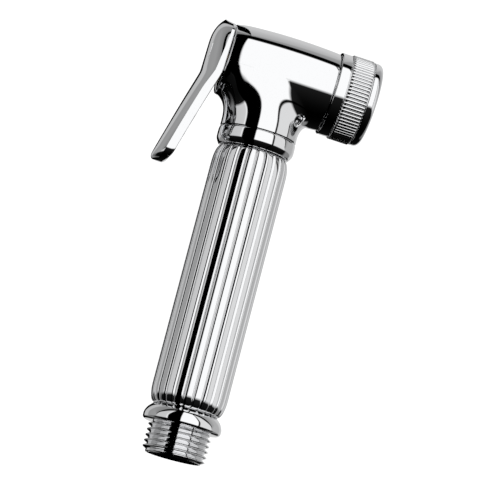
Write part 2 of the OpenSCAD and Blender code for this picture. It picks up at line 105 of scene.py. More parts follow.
class ShowerSizes(bpy.types.PropertyGroup):
    """Sizes of the shower's dressed pieces."""
    flutes: bpy.props.IntProperty(name="Flutes", description="Flutes round the handle", default=24, min=12)
    flute_depth: millimetres("Flute depth", "Depth of the valleys between the flutes", 0.4, 0.1)
    shoulder: millimetres("Shoulder", "Height of the handle's rounded shoulders", 6.4, 1)
    handle_end: millimetres("Handle end", "Radius of the handle's two necked ends", 10.6, 5)
    thread_pitch: millimetres("Hose thread pitch", "Advance of the hose thread in one turn", 1.814, 0.5)
    thread_depth: millimetres("Hose thread depth", "Height of the hose thread's ridge", 1.15, 0.1)
    inlet_recess: millimetres("Inlet recess", "Radius of the recess in the inlet end", 8.7, 4)
    neck: millimetres("Neck", "Radius of the neck", 12.7, 8)
    rear: millimetres("Rear length", "From the handle's axis back to the rear face", 16.8, 10)
    front: millimetres("Front length", "From the handle's axis to the front shoulder", 19.0, 10)
    rear_radius: millimetres("Rear radius", "Radius of the barrel at the rear, before it draws in", 12.2)
    rear_fall: millimetres("Rear fall", "How far the barrel draws in over its last stretch", 0.5)
    rear_stretch: millimetres("Rear stretch", "Length over which the barrel draws in", 5.8, 1)
    mid_radius: millimetres("Middle radius", "Radius of the barrel above the handle", 13.4)
    front_radius: millimetres("Front radius", "Radius of the barrel at the front shoulder", 13.1)
    rear_edge: millimetres("Rear edge", "Radius of the barrel's rear edge", 0.8, 0.2)
    saddle: millimetres("Saddle", "Reach of the neck's blend under the front of the barrel", 15.3)
    ribs: bpy.props.IntProperty(name="Ribs", description="Ribs round the nozzle cap", default=72, min=12)
    rib_depth: millimetres("Rib depth", "Depth between the ribs", 0.45)


class ShowerLooks(bpy.types.PropertyGroup):
    """Colours of the finishes."""
    chrome: finish_colour("Chrome", "Colour of the chrome plate", (0.86, 0.865, 0.875))
    brass: finish_colour("Brass", "Colour of the bare brass inside", (0.78, 0.58, 0.3))
    steel: finish_colour("Steel", "Colour of the pins and screws", (0.55, 0.55, 0.56))
    rubber: finish_colour("Rubber", "Colour of the seals", (0.03, 0.03, 0.032))
    plate: finish_colour("Spray plate", "Colour of the spray plate", (0.42, 0.43, 0.45))


def sizes():
    """The sizes as they stand in the scene, lengths in millimetres."""
    group = bpy.context.scene.shower_sizes
    values = {name: getattr(group, name) for name in ShowerSizes.__annotations__}
    return SimpleNamespace(**{name: v / MM if isinstance(v, float) else v for name, v in values.items()})


def looks():
    return bpy.context.scene.shower_looks


# Mesh helpers

def skin(bm, count, stations, place):
    """A skin grown by extruding a ring: place(station, share) gives each point, share being the part of a turn."""
    share_layer = bm.verts.layers.float.new("share")
    station_layer = bm.verts.layers.float.new("station")
    ring = bmesh.ops.create_circle(bm, segments=count, radius=1.0)["verts"]
    for v in ring:
        v[share_layer] = (math.atan2(v.co.y, v.co.x) / math.tau) % 1.0
        v[station_layer] = stations[0]
    first = last = list({e for v in ring for e in v.link_edges})
    for station in stations[1:]:
        grown = bmesh.ops.extrude_edge_only(bm, edges=last)["geom"]
        last = [g for g in grown if isinstance(g, bmesh.types.BMEdge)]
        for v in grown:
            if isinstance(v, bmesh.types.BMVert):
                v[station_layer] = station
    for v in bm.verts:
        v.co = place(v[station_layer], v[share_layer])
    return first, last


def grown_ring(bm, edges, radius, height=None):
    """Extrudes a loop of edges onto a circle about Z, at its own height or at the one given."""
    grown = bmesh.ops.extrude_edge_only(bm, edges=edges)["geom"]
    for v in grown:
        if isinstance(v, bmesh.types.BMVert):
            flat = Vector((v.co.x, v.co.y, 0)).normalized() * radius
            v.co = (flat.x, flat.y, v.co.z if height is None else height)
    return [e for e in grown if isinstance(e, bmesh.types.BMEdge)]


def close_ends(bm, *loops):
    for loop in loops:
        bmesh.ops.edgeloop_fill(bm, edges=loop)


def outwards(bm):
    bmesh.ops.remove_doubles(bm, verts=bm.verts, dist=1e-5)
    bmesh.ops.recalc_face_normals(bm, faces=bm.faces)


def turned(profile, steps=128):
    """A closed profile of (radius, height) points spun round Z."""
    bm = bmesh.new()
    points = [bm.verts.new((r, 0, z)) for r, z in profile]
    edges = [bm.edges.new(pair) for pair in zip(points, points[1:] + points[:1])
             if pair[0].co.x > 0 or pair[1].co.x > 0]
    bmesh.ops.spin(bm, geom=points + edges, cent=(0, 0, 0), axis=(0, 0, 1), angle=math.tau, steps=steps,
                   use_merge=True, use_duplicate=False)
    outwards(bm)
    return bm


def polar(radius, share, height):
    """The point a share of a turn round Z from +X."""
    turn = share * math.tau
    return radius * math.cos(turn), radius * math.sin(turn), height


def arc(cx, cz, radius, start, end, steps=6):
    """Points of a round corner, angles in degrees from the radius direction."""
    angles = (math.radians(start + (end - start) * i / steps) for i in range(steps + 1))
    return [(cx + radius * math.cos(a), cz + radius * math.sin(a)) for a in angles]


def flowing(points, steps=5):
    """A smooth run through a few profile points."""
    ends = [points[0]] + list(points) + [points[-1]]
    run = []
    for i in range(1, len(ends) - 2):
        p0, p1, p2, p3 = (Vector(p) for p in ends[i - 1:i + 3])
        for k in range(steps):
            t = k / steps
            run.append(tuple(0.5 * (2 * p1 + (p2 - p0) * t + (2 * p0 - 5 * p1 + 4 * p2 - p3) * t ** 2
                                    + (3 * p1 - p0 - 3 * p2 + p3) * t ** 3)))
    return run + [tuple(points[-1])]


def new_object(name, bm, matrix=None):
    if matrix is not None:
        bmesh.ops.transform(bm, matrix=matrix, verts=bm.verts)
    mesh = bpy.data.meshes.new(name)
    bm.to_mesh(mesh)
    bm.free()
    obj = bpy.data.objects.new(name, mesh)
    bpy.context.scene.collection.objects.link(obj)
    return obj


def combine(obj, tool, operation):
    """Joins a tool's solid to obj, or cuts it away, and deletes the tool."""
    modifier = obj.modifiers.new("combine", "BOOLEAN")
    modifier.object = tool
    modifier.operation = operation
    modifier.solver = "EXACT"
    depsgraph = bpy.context.evaluated_depsgraph_get()
    mesh = bpy.data.meshes.new_from_object(obj.evaluated_get(depsgraph))
    obj.modifiers.clear()
    obj.data = mesh
    bpy.data.objects.remove(tool)


def finish_piece(obj, material, body, nodes, sharp=35):
    """Brings a piece made in millimetres to its size in metres, shades it and ties it to the frame."""
    obj.data.transform(Matrix.Scale(MM, 4))
    obj.data.materials.clear()
    obj.data.materials.append(material)
    for polygon in obj.data.polygons:
        polygon.use_smooth = True
    obj.data.set_sharp_from_angle(angle=math.radians(sharp))
    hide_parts(*nodes)
    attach(obj, body)
    return obj


# Materials

HANDLING = {"Base Roughness": 0.03, "Smear": 0.04, "Smear Scale": 60.0, "Grain": 0.3}


def handling_group():
    """Node group: the faint smears and hairlines that handling leaves on polished metal."""
    if "Handling" in bpy.data.node_groups:
        return bpy.data.node_groups["Handling"]
    group = bpy.data.node_groups.new("Handling", "ShaderNodeTree")
    for name, default in HANDLING.items():
        group.interface.new_socket(name=name, in_out="INPUT", socket_type="NodeSocketFloat").default_value = default
    for name in ("Roughness", "Height"):
        group.interface.new_socket(name=name, in_out="OUTPUT", socket_type="NodeSocketFloat")
    nodes, links = group.nodes, group.links
    inputs = nodes.new("NodeGroupInput")
    outputs = nodes.new("NodeGroupOutput")
    place = nodes.new("ShaderNodeTexCoord")
    smear = nodes.new("ShaderNodeTexNoise")
    smear.inputs["Detail"].default_value = 3
    band = nodes.new("ShaderNodeMapRange")
    band.inputs["From Min"].default_value = 0.5
    band.inputs["From Max"].default_value = 0.75
    amount = nodes.new("ShaderNodeMath")
    amount.operation = "MULTIPLY_ADD"
    grain = nodes.new("ShaderNodeTexNoise")
    grain.inputs["Scale"].default_value = 900
    height = nodes.new("ShaderNodeMath")
    height.operation = "MULTIPLY"
    links.new(place.outputs["Object"], smear.inputs["Vector"])
    links.new(place.outputs["Object"], grain.inputs["Vector"])
    links.new(inputs.outputs["Smear Scale"], smear.inputs["Scale"])
    links.new(smear.outputs["Fac"], band.inputs["Value"])
    links.new(band.outputs["Result"], amount.inputs[0])
    links.new(inputs.outputs["Smear"], amount.inputs[1])
    links.new(inputs.outputs["Base Roughness"], amount.inputs[2])
    links.new(amount.outputs["Value"], outputs.inputs["Roughness"])
    links.new(grain.outputs["Fac"], height.inputs[0])
    links.new(inputs.outputs["Grain"], height.inputs[1])
    links.new(height.outputs["Value"], outputs.inputs["Height"])
    return group


def surface(name, colour, metallic, bump, handled):
    """A finish whose roughness and fine relief come from the handling group, handled being its four inputs."""
    if name in bpy.data.materials:
        return bpy.data.materials[name]
    material = bpy.data.materials.new(name)
    material.use_nodes = True
    nodes, links = material.node_tree.nodes, material.node_tree.links
    shader = nodes["Principled BSDF"]
    shader.inputs["Base Color"].default_value = (*colour, 1)
    shader.inputs["Metallic"].default_value = metallic
    handling = nodes.new("ShaderNodeGroup")
    handling.node_tree = handling_group()
    for socket, value in zip(HANDLING, handled):
        handling.inputs[socket].default_value = value
    relief = nodes.new("ShaderNodeBump")
    relief.inputs["Strength"].default_value = bump
    relief.inputs["Distance"].default_value = 0.00002
    links.new(handling.outputs["Roughness"], shader.inputs["Roughness"])
    links.new(handling.outputs["Height"], relief.inputs["Height"])
    links.new(relief.outputs["Normal"], shader.inputs["Normal"])
    return material


# Name, metallic and bump of each finish, then its roughness, smear, smear scale and grain
FINISHES = {
    "chrome": ("Chrome plate", 1.0, 0.05, (0.025, 0.05, 55.0, 0.3)),
    "brass": ("Turned brass", 1.0, 0.4, (0.22, 0.15, 120.0, 1.0)),
    "steel": ("Bright steel", 1.0, 0.4, (0.18, 0.12, 150.0, 1.0)),
    "rubber": ("Seal rubber", 0.0, 0.8, (0.55, 0.2, 200.0, 1.0)),
    "plate": ("Spray plate", 0.0, 0.3, (0.28, 0.12, 90.0, 0.6)),
}


def finish(key):
    name, *values = FINISHES[key]
    return surface(name, getattr(looks(), key), *values)


# Forms of the head

def barrel_radius(u):
    """Radius of the barrel at u along it: one curve through the rear, middle and front radii."""
    s = sizes()
    a, c = -s.rear, s.front
    fall = s.rear_fall * max(0.0, (a + s.rear_stretch - u) / s.rear_stretch) ** 2
    return (s.rear_radius * u * (u - c) / (a * (a - c)) + s.mid_radius * (u - a) * (u - c) / (a * c)
            + s.front_radius * u * (u - a) / (c * (c - a)) - fall)


def barrel_slope(u):
    step = 0.1
    return (barrel_radius(u + step) - barrel_radius(u - step)) / (2 * step)


def on_barrel_underside(x, y, inset):
    """Height of the barrel's underside over a point of the plan, a little inside the skin."""
    across = max(0.0, (barrel_radius(x) - inset) ** 2 - y * y)
    droop = -BARREL.to_3x3().col[0].z / BARREL.to_3x3().col[0].x
    return AXIS_HEIGHT - x * droop - math.sqrt(across)


def saddle_plan(turn):
    """Outline, seen from below, along which the neck runs into the barrel: round in front, square behind."""
    s = sizes()
    c, q = math.cos(turn), math.sin(turn)
    hair = 0.02
    side = s.mid_radius + hair
    reach, power = (s.saddle, 2.5) if c > 0 else (s.rear - 3 * hair, 6.0)
    radius = (abs(c / reach) ** power + abs(q / side) ** power) ** (-1 / power)
    x, y = radius * c, radius * q
    limit = barrel_radius(x) - hair
    return x, max(-limit, min(limit, y))


# Operators

class SHOWER_OT_head(bpy.types.Operator):
    """Model the tee head: barrel, blended neck, threaded spigot and its bores"""
    bl_idname = "shower.head"
    bl_label = "Head"

    front_edge, base_rise, inset = 0.35, 1.9, 0.04
    # How far the blend's handles run round the barrel and up the neck, as parts of the way between them
    outward_pull, upward_pull = 0.6, 0.4
    spigot_radius, spigot_length, spigot_pitch, spigot_depth, spigot_fade = 12.0, 8.2, 1.0, 0.6, 0.6
    steps_per_turn, flank_height, flank_power = 14, 1.35, 0.8
    screw_hole, screw_from, beyond = 1.53, 8.0, 40.0
    # Steps of the bores, as radius and start: gland flange, gland, chamber, seat, outlet
    valve = [(8.53, -20.0), (7.53, -13.8), (7.2, -7.3), (3.6, 5.4), (9.5, 7.9), (0, 40.0)]
    # The same from the neck's foot up: tube socket, seal groove, socket, neck bore
    water = [(7.53, -1.0), (9.13, 2.25), (7.53, 4.15), (4.8, 10.7)]
    dish = [(0, -0.6), (1.62, -0.6), (1.8, -0.25), (2.2, -0.2), (2.5, 0.6), (0, 0.6)]

    def barrel(self):
        s = sizes()
        edge = s.rear_edge
        lean = math.atan(barrel_slope(-s.rear))
        rear = -s.rear + edge * (1 - math.sin(lean))
        steps = 48
        side = [(barrel_radius(u), u) for u in (rear + (s.front - rear) * i / steps for i in range(1, steps - 1))]
        corner = arc(barrel_radius(rear) - edge * math.cos(lean), -s.rear + edge, edge, -90, -math.degrees(lean), 8)
        foot = arc(s.front_radius - self.front_edge, s.front - self.front_edge, self.front_edge, 0, 90, 4)
        return new_object("head_body_dressed", turned([(0, -s.rear)] + corner + side + foot + [(0, s.front)]),
                          ALONG_BARREL)

    def saddle(self):
        s = sizes()
        foot = corners_mm("head_body")[0].z
        bend = foot + self.base_rise
        steps = 28
        stations = [-1.0, -0.6, -0.3] + [i / steps for i in range(steps + 1)]

        def place(t, share):
            turn = share * math.tau
            base = Vector(polar(s.neck, share, bend))
            if t < 0:
                base.z = bend + t * (bend - foot)
                return base
            x, y = saddle_plan(turn)
            top = Vector((x, y, on_barrel_underside(x, y, self.inset)))
            depth = math.sqrt(max(1.0, barrel_radius(x) ** 2 - y * y))
            out = Vector((-barrel_slope(x) * barrel_radius(x), y, -depth)).normalized()
            fall = base - top
            leave = top + (fall - out * fall.dot(out)) * self.outward_pull
            rise = base + Vector((0, 0, top.z - base.z)) * self.upward_pull
            return (base * (1 - t) ** 3 + rise * (3 * t * (1 - t) ** 2) + leave * (3 * t * t * (1 - t))
                    + top * t ** 3)

        bm = bmesh.new()
        first, last = skin(bm, 160, stations, place)
        inner = bmesh.ops.extrude_edge_only(bm, edges=last)["geom"]
        for v in inner:
            if isinstance(v, bmesh.types.BMVert):
                v.co = (v.co.x * 0.9, v.co.y * 0.85, AXIS_HEIGHT + 1)
        close_ends(bm, first, [e for e in inner if isinstance(e, bmesh.types.BMEdge)])
        outwards(bm)
        return new_object("saddle", bm)

    def spigot(self):
        """The nozzle's thread, right-handed, its ridge fading out at both ends."""
        start, end = sizes().front - 1, corners_mm("nozzle_cap")[0].x + self.spigot_length
        steps = max(8, round((end - start) / self.spigot_pitch * self.steps_per_turn))

        def place(z, share):
            phase = ((z - start) / self.spigot_pitch - share) % 1.0
            ridge = min(1.0, max(0.0, self.flank_height - abs(2 * phase - 1) * 2.0)) ** self.flank_power
            edge = min(1.0, max(0.0, (z - start) / self.spigot_fade), max(0.0, (end - z) / self.spigot_fade))
            return polar(self.spigot_radius - self.spigot_depth + self.spigot_depth * ridge * edge, share, z)

        bm = bmesh.new()
        close_ends(bm, *skin(bm, 96, [start + (end - start) * i / steps for i in range(steps + 1)], place))
        outwards(bm)
        return new_object("spigot", bm, ALONG_BARREL)

    def bore(self, body, profile, matrix):
        """Cuts a bore whose steps are (radius, start of the step), the last entry ending it."""
        points = [(0, profile[0][1])]
        for (radius, start), (_, end) in zip(profile, profile[1:]):
            points += [(radius, start), (radius, end)]
        combine(body, new_object("cutter", turned(points + [(0, profile[-1][1])], 96), matrix), "DIFFERENCE")

    def execute(self, context):
        body = self.barrel()
        combine(body, self.saddle(), "UNION")
        combine(body, self.spigot(), "UNION")
        foot = corners_mm("head_body")[0].z
        self.bore(body, self.valve, ALONG_BARREL)
        water = [(radius, foot + start) for radius, start in self.water]
        self.bore(body, water + [(0, AXIS_HEIGHT - 2)], Matrix.Identity(4))
        screw_low, screw_high = corners_mm("lock_screw")
        middle = (screw_low + screw_high) / 2
        turn = math.atan2(middle.y, middle.x)
        radial = (Matrix.Translation((0, 0, middle.z)) @ Matrix.Rotation(turn, 4, "Z")
                  @ Matrix.Rotation(math.pi / 2, 4, "Y"))
        out = radial.to_3x3().col[2]
        context.view_layer.update()
        _, spot, normal, _ = body.ray_cast(Vector((0, 0, middle.z)) + out * self.beyond, -out)
        self.bore(body, [(self.screw_hole, self.screw_from), (0, self.beyond)], radial)
        facing = Matrix.Translation(spot) @ normal.to_track_quat("Z", "Y").to_matrix().to_4x4()
        combine(body, new_object("cutter", turned(self.dish, 64), facing), "DIFFERENCE")
        finish_piece(body, finish("chrome"), "root", ["head_body"], 28)
        return {"FINISHED"}


class SHOWER_OT_ring(bpy.types.Operator):
    """Model the neck ring between the handle and the head"""
    bl_idname = "shower.ring"
    bl_label = "Neck ring"

    height, bore, spigot, chamfer = 6.0, 7.53, 8.3, 0.3

    def execute(self, context):
        low, high = corners_mm("neck_ring")
        top, outer = high.z, high.x
        foot, ledge = top - self.height, sizes().handle_end
        outside = flowing([(ledge - 0.5, foot), (ledge + 0.9, foot + 0.1), (outer - 0.7, foot + 0.8),
                           (outer - 0.1, foot + 2.0), (outer, foot + 3.5), (outer - 0.05, top - 0.9),
                           (outer - 0.2, top - 0.4), (outer - 0.6, top)], 6)
        ring = new_object("neck_ring_dressed", turned(
            [(self.bore, low.z), (self.spigot - self.chamfer, low.z), (self.spigot, low.z + self.chamfer),
             (self.spigot, foot)] + outside + [(self.bore, top)]))
        finish_piece(ring, finish("chrome"), "root", ["neck_ring"])
        return {"FINISHED"}


class SHOWER_OT_handle(bpy.types.Operator):
    """Model the fluted handle, its flutes following the rounded shoulders"""
    bl_idname = "shower.handle"
    bl_label = "Fluted handle"

    points_per_flute, shoulder_steps, shoulder_power = 16, 14, 2.2
    valley_share, valley_power = 0.24, 1.7
    end_bore, bore, seat, swell = 8.565, 10.6, 3.0, 7.5

    def execute(self, context):
        s = sizes()
        low, high = corners_mm("handle_sleeve")
        tall, full = high.z - low.z, high.x
        steps = self.shoulder_steps
        rise = [s.shoulder * (1 - math.cos(math.pi / 2 * i / steps)) for i in range(steps + 1)]
        stations = rise + [tall * k / 8 for k in range(1, 8)] + [tall - z for z in reversed(rise)]

        def place(z, share):
            near = max(0.0, 1 - min(z, tall - z) / s.shoulder)
            envelope = s.handle_end + (full - s.handle_end) * math.sqrt(max(0.0, 1 - near ** self.shoulder_power))
            from_valley = abs((share * s.flutes + 0.5) % 1.0 - 0.5)
            valley = max(0.0, 1 - from_valley / self.valley_share) ** self.valley_power
            return polar(envelope - s.flute_depth * valley, share, low.z + z)

        bm = bmesh.new()
        first, last = skin(bm, s.flutes * self.points_per_flute, stations, place)
        inside = [(self.end_bore, 0.0), (self.end_bore, self.seat), (self.bore, self.swell)]
        for radius, z in [(radius, tall - z) for radius, z in inside] + inside[::-1]:
            last = grown_ring(bm, last, radius, low.z + z)
        bmesh.ops.bridge_loops(bm, edges=first + last)
        outwards(bm)
        handle = new_object("handle_sleeve_dressed", bm)
        finish_piece(handle, finish("chrome"), "root", ["handle_sleeve"], 40)
        return {"FINISHED"}


class SHOWER_OT_connector(bpy.types.Operator):
    """Model the inlet connector with its flange and helical hose thread"""
    bl_idname = "shower.connector"
    bl_label = "Inlet connector"

    socket, bore, spigot, core = 7.53, 5.8, 8.3, 9.2
    recess_floor, socket_floor, mouth_edge = 6.5, 9.05, 0.35
    lead, run_out, thread_steps, thread_points = 1.1, 0.8, 100, 144

    def execute(self, context):
        s = sizes()
        _, high = corners_mm("hose_connector")
        major = THREAD["r_mm"]
        flange_z = THREAD["length_mm"] + 0.4
        top = corners_mm("handle_sleeve")[0].z - 0.2
        outer = high.x
        bead = flowing([(outer - 0.75, flange_z), (outer - 0.15, flange_z + 0.5), (outer, flange_z + 1.4),
                        (outer - 0.1, flange_z + 2.4), (outer - 0.5, flange_z + 3.4), (outer - 1.1, flange_z + 4.3),
                        (outer - 1.9, flange_z + 5.1), (s.handle_end - 0.15, top)], 6)
        bore, floor, core = self.bore, self.recess_floor, self.core
        body = new_object("hose_connector_dressed", turned(
            [(bore, floor + 0.2), (bore + 0.2, floor), (core, floor), (core, flange_z)] + bead
            + [(self.spigot, top), (self.spigot, high.z), (self.socket, high.z), (self.socket, self.socket_floor),
               (bore, self.socket_floor)]))

        def place(z, share):
            phase = (z / s.thread_pitch - share) % 1.0
            ridge = 0.5 - 0.5 * math.cos(math.pi * (1 - abs(2 * phase - 1)))
            lead = min(1.0, z / self.lead)
            run_out = min(1.0, max(0.0, (flange_z - z - 0.2) / self.run_out))
            r = major - s.thread_depth * (1 - ridge * lead * run_out) - self.mouth_edge * (1 - lead)
            return polar(r, share, z)

        bm = bmesh.new()
        stations = [(flange_z + 0.3) * i / self.thread_steps for i in range(self.thread_steps + 1)]
        close_ends(bm, *skin(bm, self.thread_points, stations, place))
        outwards(bm)
        stub = new_object("stub", bm)
        rim = s.inlet_recess + self.mouth_edge
        mouth = arc(rim, 0.0, self.mouth_edge, 90, 180, 4)
        inside = [(s.inlet_recess, floor), (bore, floor), (bore, 12), (0, 12)]
        combine(stub, new_object("cutter", turned([(0, -1), (rim, -1)] + mouth + inside)), "DIFFERENCE")
        combine(body, stub, "UNION")
        finish_piece(body, finish("chrome"), "root", ["hose_connector"], 40)
        return {"FINISHED"}


class SHOWER_OT_lever(bpy.types.Operator):
    """Model the spoon-shaped lever as a crowned shell with its pin holes"""
    bl_idname = "shower.lever"
    bl_label = "Lever"

    # Lengths along the barrel's height from its axis, and the lower arm's slope away from the handle
    up, down, bend, lean, heel, curl = 12.6, 39.0, 6.0, 15.3, 0.6, 0.9
    half_width, tip_half_width, least_half_width = 9.8, 6.8, 0.12
    depth, tip_depth, crown_power = 6.3, 6.0, 2.2
    # Height of the flat side between rim and crown, and how soon it grows below the bend
    side_top, side_tip, side_growth = 1.2, 3.0, 1.8
    gap, wall, overcut, rim_edge, rim_share = 0.25, 1.8, 1.0, 0.2, 0.1
    tip_length, tip_turn, tip_close = 4.6, 1.7, 0.2
    top_length, top_reach, top_shear, top_close = 6.5, 10.2, 0.9, 0.5
    pin_back, pin, lug_thickness, lug_offset, lug_height = 1.55, 1.02, 2.0, 3.8, 5.4

    def half_width_at(self, w):
        top, tip = self.up - self.top_length, -self.down + self.tip_length
        if w > top:
            return self.half_width * math.sqrt(max(0.0, 1 - ((w - top) / self.top_length) ** 2))
        if w > -self.bend:
            return self.half_width
        if w > tip:
            share = (-self.bend - w) / (-self.bend - tip)
            return self.half_width + (self.tip_half_width - self.half_width) * share
        return self.tip_half_width * math.sqrt(max(0.0, 1 - ((w - tip) / self.tip_length) ** 2))

    def section(self, w, share, inset=0.0):
        """A point of the lever's skin: share runs from one rim edge, over the crown, to the other edge."""
        half = max(self.least_half_width, self.half_width_at(w) - inset)
        along = min(1.0, max(0.0, (self.bend - w) / (self.down - self.bend)))
        low = max(0.0, -self.bend - w)
        away = (math.hypot(low, self.heel) - self.heel) * math.tan(math.radians(self.lean))
        rim = -sizes().rear - self.gap - away + self.curl * (low / (self.down - self.bend)) ** 2
        top = max(0.0, (w - self.up + self.top_reach) / self.top_reach)
        tip = max(0.0, (self.tip_length - self.down - w) / self.tip_length)
        rim -= self.tip_turn * tip ** 3
        close = 1 - self.top_close * top ** 3 - (self.tip_turn / self.tip_depth + self.tip_close * tip ** 3) * tip ** 3
        full = (self.depth + (self.tip_depth - self.depth) * along) * close
        side = (self.side_top + (self.side_tip - self.side_top) * min(1.0, along * self.side_growth)) * close
        rise = max(0.2, full - side - inset)
        shear = self.top_shear * top ** 3
        from_end = min(share, 1 - share)
        if from_end < self.rim_share:
            mouth = rim + self.overcut if inset else rim
            edge = 0.0 if inset else self.rim_edge
            steps = (mouth, half - edge), (mouth - edge, half), (rim - side, half)
            at = from_end / self.rim_share * 2
            (u, y), (u2, y2) = steps[int(at)], steps[min(2, int(at) + 1)]
            blend = at - int(at)
            across = y + (y2 - y) * blend
            return u + (u2 - u) * blend, -across if share < 0.5 else across, w - shear
        across = math.sin(math.pi / 2 * ((share - self.rim_share) / (0.5 - self.rim_share) - 1))
        crown = 1 - abs(across) ** self.crown_power
        return rim - side - rise * crown, half * across, w - shear * (1 - crown)

    def shell(self, inset):
        steps, count, hair = 60, 60, 0.02
        up, down = self.up - inset - hair, self.down - inset - hair
        stations = [-down + (up + down) * 0.5 * (1 - math.cos(math.pi * i / steps)) for i in range(steps + 1)]
        bm = bmesh.new()
        close_ends(bm, *skin(bm, count, stations, lambda w, share: self.section(w, share * count / (count - 1), inset)))
        outwards(bm)
        return new_object("lever_dressed", bm, BARREL)

    def lug(self, side):
        bm = bmesh.new()
        bmesh.ops.create_cube(bm, size=1.0)
        rim = -sizes().rear - self.gap
        length = self.depth - self.wall / 2 - 0.4
        bmesh.ops.scale(bm, vec=(length, self.lug_thickness, self.lug_height), verts=bm.verts)
        centre = (rim - self.depth + self.wall / 2 + length / 2, side * self.lug_offset, 0)
        bmesh.ops.translate(bm, vec=centre, verts=bm.verts)
        return new_object("lug", bm, BARREL)

    def execute(self, context):
        lever = self.shell(0.0)
        combine(lever, self.shell(self.wall), "DIFFERENCE")
        for side in (-1, 1):
            combine(lever, self.lug(side), "UNION")
        pin_at = (BARREL @ Matrix.Translation((-sizes().rear - self.gap - self.pin_back, 0, 0))
                  @ Matrix.Rotation(math.pi / 2, 4, "X"))
        reach = self.lug_offset + self.lug_thickness / 2
        hole = turned([(0, -reach), (self.pin, -reach), (self.pin, reach), (0, reach)], 48)
        combine(lever, new_object("cutter", hole, pin_at), "DIFFERENCE")
        finish_piece(lever, finish("chrome"), "lever", ["lever"], 30)
        return {"FINISHED"}


class SHOWER_OT_nozzle(bpy.types.Operator):
    """Model the knurled nozzle cap"""
    bl_idname = "shower.nozzle"
    bl_label = "Nozzle cap"

    seam, band_length, knurl_length, lip_length = 0.3, 3.7, 7.3, 3.3
    band, knurl, lip, lip_bore, thread, lip_thickness = 13.9, 14.3, 14.0, 10.6, 12.05, 1.7
    edge, lip_round, mouth_round = 0.3, 1.9, 0.4
    # The ribs stand in a groove, a little longer than they are, and reach through its floor
    slack, groove_depth, rib_base = 0.15, 0.25, 0.8
    rib_bevel, rib_round, points_per_rib = 0.35, 0.85, 12

    def execute(self, context):
        s = sizes()
        rear = s.front + self.seam
        knurl_rear = rear + self.band_length
        knurl_front = knurl_rear + self.knurl_length
        front = knurl_front + self.lip_length
        root = self.knurl - s.rib_depth
        edge, slack, seat = self.edge, self.slack, root - self.groove_depth
        inner = [(self.thread, rear + edge), (self.thread + edge, rear)]
        band = (arc(self.band - edge, rear + edge, edge, -90, 0, 4)
                + arc(self.band - edge, knurl_rear - slack - edge, edge, 0, 90, 4))
        groove = [(seat, knurl_rear - slack), (seat, knurl_front + slack)]
        lip = (arc(self.lip - edge, knurl_front + slack + edge, edge, -90, 0, 4)
               + arc(self.lip - self.lip_round, front - self.lip_round, self.lip_round, 0, 90, 10)
               + arc(self.lip_bore + self.mouth_round, front - self.mouth_round, self.mouth_round, 90, 180, 4))
        shelf = [(self.lip_bore, front - self.lip_thickness), (self.thread, front - self.lip_thickness)]
        cap = new_object("nozzle_cap_dressed", turned(inner + band + groove + lip + shelf), ALONG_BARREL)
        bevel = self.rib_bevel
        end = [0.0, bevel * 0.3, bevel]
        stations = end + [1.5, 3.6, 5.8] + [self.knurl_length - z for z in reversed(end)]
        foot = math.sqrt(1 - self.rib_round)

        def place(z, share):
            phase = (share * s.ribs) % 1.0
            rib = (math.sqrt(1 - self.rib_round * (2 * phase - 1) ** 2) - foot) / (1 - foot)
            chamfer = max(0.0, bevel - min(z, self.knurl_length - z))
            return polar(root + s.rib_depth * rib - chamfer, share, knurl_rear + z)

        bm = bmesh.new()
        first, last = skin(bm, s.ribs * self.points_per_rib, stations, place)
        bore = root - self.rib_base
        bmesh.ops.bridge_loops(bm, edges=grown_ring(bm, first, bore) + grown_ring(bm, last, bore))
        outwards(bm)
        combine(cap, new_object("ribs", bm, ALONG_BARREL), "UNION")
        finish_piece(cap, finish("chrome"), "nozzle_cap", ["nozzle_cap"], 35)
        return {"FINISHED"}


class SHOWER_OT_spring(bpy.types.Operator):
    """Model the return spring at one fixed length, though the real spring shortens as the stem slides back"""
    bl_idname = "shower.spring"
    bl_label = "Return spring"

    wire, coil, turns, start, end, points_per_turn = 0.4, 4.4, 4.5, -6.8, 0.47, 36

    def execute(self, context):
        wire, start, end = self.wire, self.start, self.end
        total = round(self.turns * self.points_per_turn)

        def place(i, share):
            around = share * math.tau
            along = start + (end - start) * i / total + wire * math.sin(around)
            y, z, u = polar(self.coil + wire * math.cos(around), i / self.points_per_turn, along)
            return u, y, z

        bm = bmesh.new()
        close_ends(bm, *skin(bm, 14, [float(i) for i in range(total + 1)], place))
        outwards(bm)
        spring = new_object("return_spring_dressed", bm, BARREL)
        spring = finish_piece(spring, finish("steel"), "root", ["return_spring"])
        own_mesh(spring)
        return {"FINISHED"}


class SHOWER_OT_finishes(bpy.types.Operator):
    """Give the frame's own pieces their finishes"""
    bl_idname = "shower.finishes"
    bl_label = "Finishes"

    def execute(self, context):
        finishes = {
            "brass": ["water_tube", "valve_stem", "valve_gland"],
            "steel": ["lock_screw", "washer_screw", "lever_pin"],
            "rubber": ["upper_tube_seal", "lower_tube_seal", "gland_seal", "inner_stem_seal", "outer_stem_seal",
                       "valve_washer", "nozzle_seal"],
            "plate": ["spray_plate"],
        }
        for key, names in finishes.items():
            for name in names:
                for slot in frame["nodes"][name].material_slots:
                    slot.material = finish(key)
        return {"FINISHED"}


# Levels of the studio round the part: 0.5 is the front, less is the lever side, more is the spray side
AROUND = [(0.0, 0.0), (0.07, 0.0), (0.076, 0.85), (0.14, 0.8), (0.15, 0.5), (0.34, 0.6), (0.354, 0.95), (0.357, 0.0),
          (0.462, 0.0), (0.466, 1.0), (0.612, 1.0), (0.615, 0.0), (0.628, 0.0), (0.631, 0.72), (0.86, 0.72),
          (0.9, 0.95)]
# Levels from straight down to straight up
UP_DOWN = [(0.0, 0.0), (0.36, 0.01), (0.42, 1.0)]
